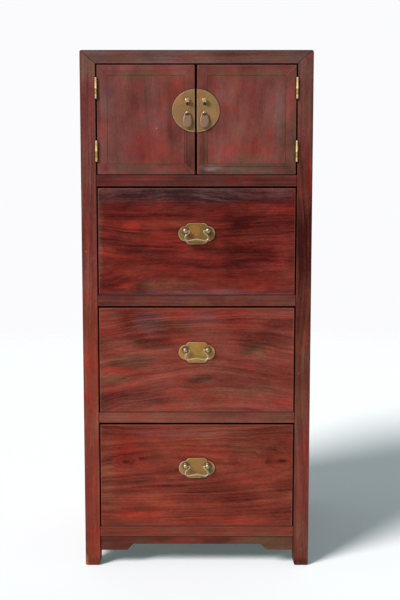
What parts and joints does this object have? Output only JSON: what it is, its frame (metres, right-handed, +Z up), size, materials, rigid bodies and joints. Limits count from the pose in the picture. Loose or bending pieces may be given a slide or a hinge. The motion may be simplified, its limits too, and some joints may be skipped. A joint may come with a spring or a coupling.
{
  "type": "dresser",
  "caption": "Narrow upright dresser: a two-door cupboard with a round brass plate over deep drawers with bail pulls, on short legs with a shaped apron.",
  "frame": {"origin": "on the floor, in the middle of the box round the whole dresser with its pulls", "axes": "+Z up, -Y out of the front, +X to the right as seen from the front"},
  "size_m": [0.56, 0.5276, 1.27],
  "materials": {
    "post_elm": "satin lacquered elm, red-brown",
    "rail_elm": "satin lacquered elm, dusty red-brown",
    "door_elm": "satin lacquered elm, dusty rose-brown",
    "drawer_elm": "satin lacquered elm, deep red",
    "bare_wood": "bare wood inside and at the back",
    "old_brass": "dulled old brass",
    "bright_brass": "brighter brass of the hinges"
  },
  "bodies": {
    "case": {"post_front_left": "post_elm", "post_front_right": "post_elm", "post_rear_left": "post_elm", "post_rear_right": "post_elm", "top_rail_front": "rail_elm", "top_rail_rear": "rail_elm", "top_rail_left": "rail_elm", "top_rail_right": "rail_elm", "top_panel": "post_elm", "rail_below_doors": "rail_elm", "rail_below_drawer_1": "rail_elm", "rail_below_drawer_2": "rail_elm", "rail_bottom": "rail_elm", "apron": "rail_elm", "side_panel_left": "post_elm", "side_panel_right": "post_elm", "side_rail_bottom_left": "rail_elm", "side_rail_bottom_right": "rail_elm", "back_panel": "bare_wood", "cupboard_floor": "bare_wood", "runner_frame_1": "bare_wood", "runner_frame_2": "bare_wood", "runner_frame_3": "bare_wood", "hinge_upper_left_frame_leaf": "bright_brass", "hinge_lower_left_frame_leaf": "bright_brass", "hinge_upper_right_frame_leaf": "bright_brass", "hinge_lower_right_frame_leaf": "bright_brass"},
    "door_left": {"door_left_hinge_stile": "door_elm", "door_left_meeting_stile": "door_elm", "door_left_top_rail": "door_elm", "door_left_bottom_rail": "door_elm", "door_left_panel": "door_elm", "door_plate_left": "old_brass", "hinge_upper_left_door_leaf": "bright_brass", "hinge_lower_left_door_leaf": "bright_brass"},
    "door_right": {"door_right_hinge_stile": "door_elm", "door_right_meeting_stile": "door_elm", "door_right_top_rail": "door_elm", "door_right_bottom_rail": "door_elm", "door_right_panel": "door_elm", "door_plate_right": "old_brass", "hinge_upper_right_door_leaf": "bright_brass", "hinge_lower_right_door_leaf": "bright_brass"},
    "drop_left": {"drop_left": "old_brass"},
    "drop_right": {"drop_right": "old_brass"},
    "drawer_1": {"drawer_front_1": "drawer_elm", "drawer_box_1": "bare_wood", "drawer_bottom_1": "bare_wood", "pull_plate_1": "old_brass"},
    "drawer_2": {"drawer_front_2": "drawer_elm", "drawer_box_2": "bare_wood", "drawer_bottom_2": "bare_wood", "pull_plate_2": "old_brass"},
    "drawer_3": {"drawer_front_3": "drawer_elm", "drawer_box_3": "bare_wood", "drawer_bottom_3": "bare_wood", "pull_plate_3": "old_brass"},
    "bail_1": {"bail_1": "old_brass"},
    "bail_2": {"bail_2": "old_brass"},
    "bail_3": {"bail_3": "old_brass"}
  },
  "joints": [
    {"name": "door_left_swing", "type": "hinge", "parent": "case", "child": "door_left", "pos_m": [-0.241, -0.2495, 1.1055], "axis": [0, 0, -1], "range_deg": [0, 175]},
    {"name": "door_right_swing", "type": "hinge", "parent": "case", "child": "door_right", "pos_m": [0.241, -0.2495, 1.1055], "axis": [0, 0, 1], "range_deg": [0, 175]},
    {"name": "drop_left_swing", "type": "hinge", "parent": "door_left", "child": "drop_left", "pos_m": [-0.0223, -0.2536, 1.1204], "axis": [-1, 0, 0], "range_deg": [-6, 155]},
    {"name": "drop_right_swing", "type": "hinge", "parent": "door_right", "child": "drop_right", "pos_m": [0.0187, -0.2536, 1.1204], "axis": [-1, 0, 0], "range_deg": [-6, 155]},
    {"name": "drawer_1_slide", "type": "slide", "parent": "case", "child": "drawer_1", "axis": [0, -1, 0], "range_m": [0, 0.36]},
    {"name": "drawer_2_slide", "type": "slide", "parent": "case", "child": "drawer_2", "axis": [0, -1, 0], "range_m": [0, 0.36]},
    {"name": "drawer_3_slide", "type": "slide", "parent": "case", "child": "drawer_3", "axis": [0, -1, 0], "range_m": [0, 0.36]},
    {"name": "bail_1_swing", "type": "hinge", "parent": "drawer_1", "child": "bail_1", "pos_m": [0, -0.2571, 0.84], "axis": [-1, 0, 0], "range_deg": [-15, 198]},
    {"name": "bail_2_swing", "type": "hinge", "parent": "drawer_2", "child": "bail_2", "pos_m": [0, -0.2571, 0.549], "axis": [-1, 0, 0], "range_deg": [-15, 198]},
    {"name": "bail_3_swing", "type": "hinge", "parent": "drawer_3", "child": "bail_3", "pos_m": [0, -0.2571, 0.258], "axis": [-1, 0, 0], "range_deg": [-15, 198]}
  ]
}
